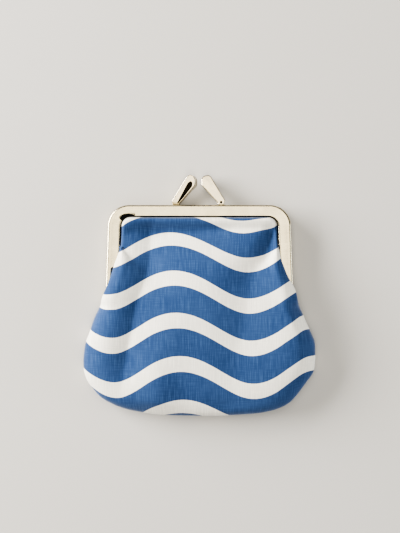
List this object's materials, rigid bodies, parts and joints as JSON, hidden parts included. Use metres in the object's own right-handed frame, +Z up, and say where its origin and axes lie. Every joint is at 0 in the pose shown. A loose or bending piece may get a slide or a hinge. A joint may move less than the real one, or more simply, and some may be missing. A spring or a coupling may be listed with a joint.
{
  "type": "kiss lock coin purse",
  "caption": "Small flat coin purse lying on its back: striped cotton bag in a rounded nickel kiss lock frame with two leaning clasp fingers.",
  "frame": {"origin": "on the surface the purse lies on, under the middle of its bounding box, which is the hinge axis's middle to within half a millimetre", "axes": "+X to the right across the purse, +Y from the bottom of the bag toward the clasp, +Z up from the surface, out of the front panel"},
  "size_m": [0.1058, 0.1094, 0.0157],
  "materials": {
    "frame_nickel": "polished nickel plate, warm tone",
    "clasp_nickel": "polished nickel plate",
    "striped_cotton": "woven cotton printed with blue and off-white waves"
  },
  "bodies": {
    "root": {"frame_front": "frame_nickel", "frame_back": "frame_nickel", "clasp_front": "clasp_nickel", "clasp_back": "clasp_nickel", "rivet_left": "frame_nickel", "rivet_right": "frame_nickel", "bag_front": "striped_cotton", "bag_back": "striped_cotton"}
  },
  "joints": []
}
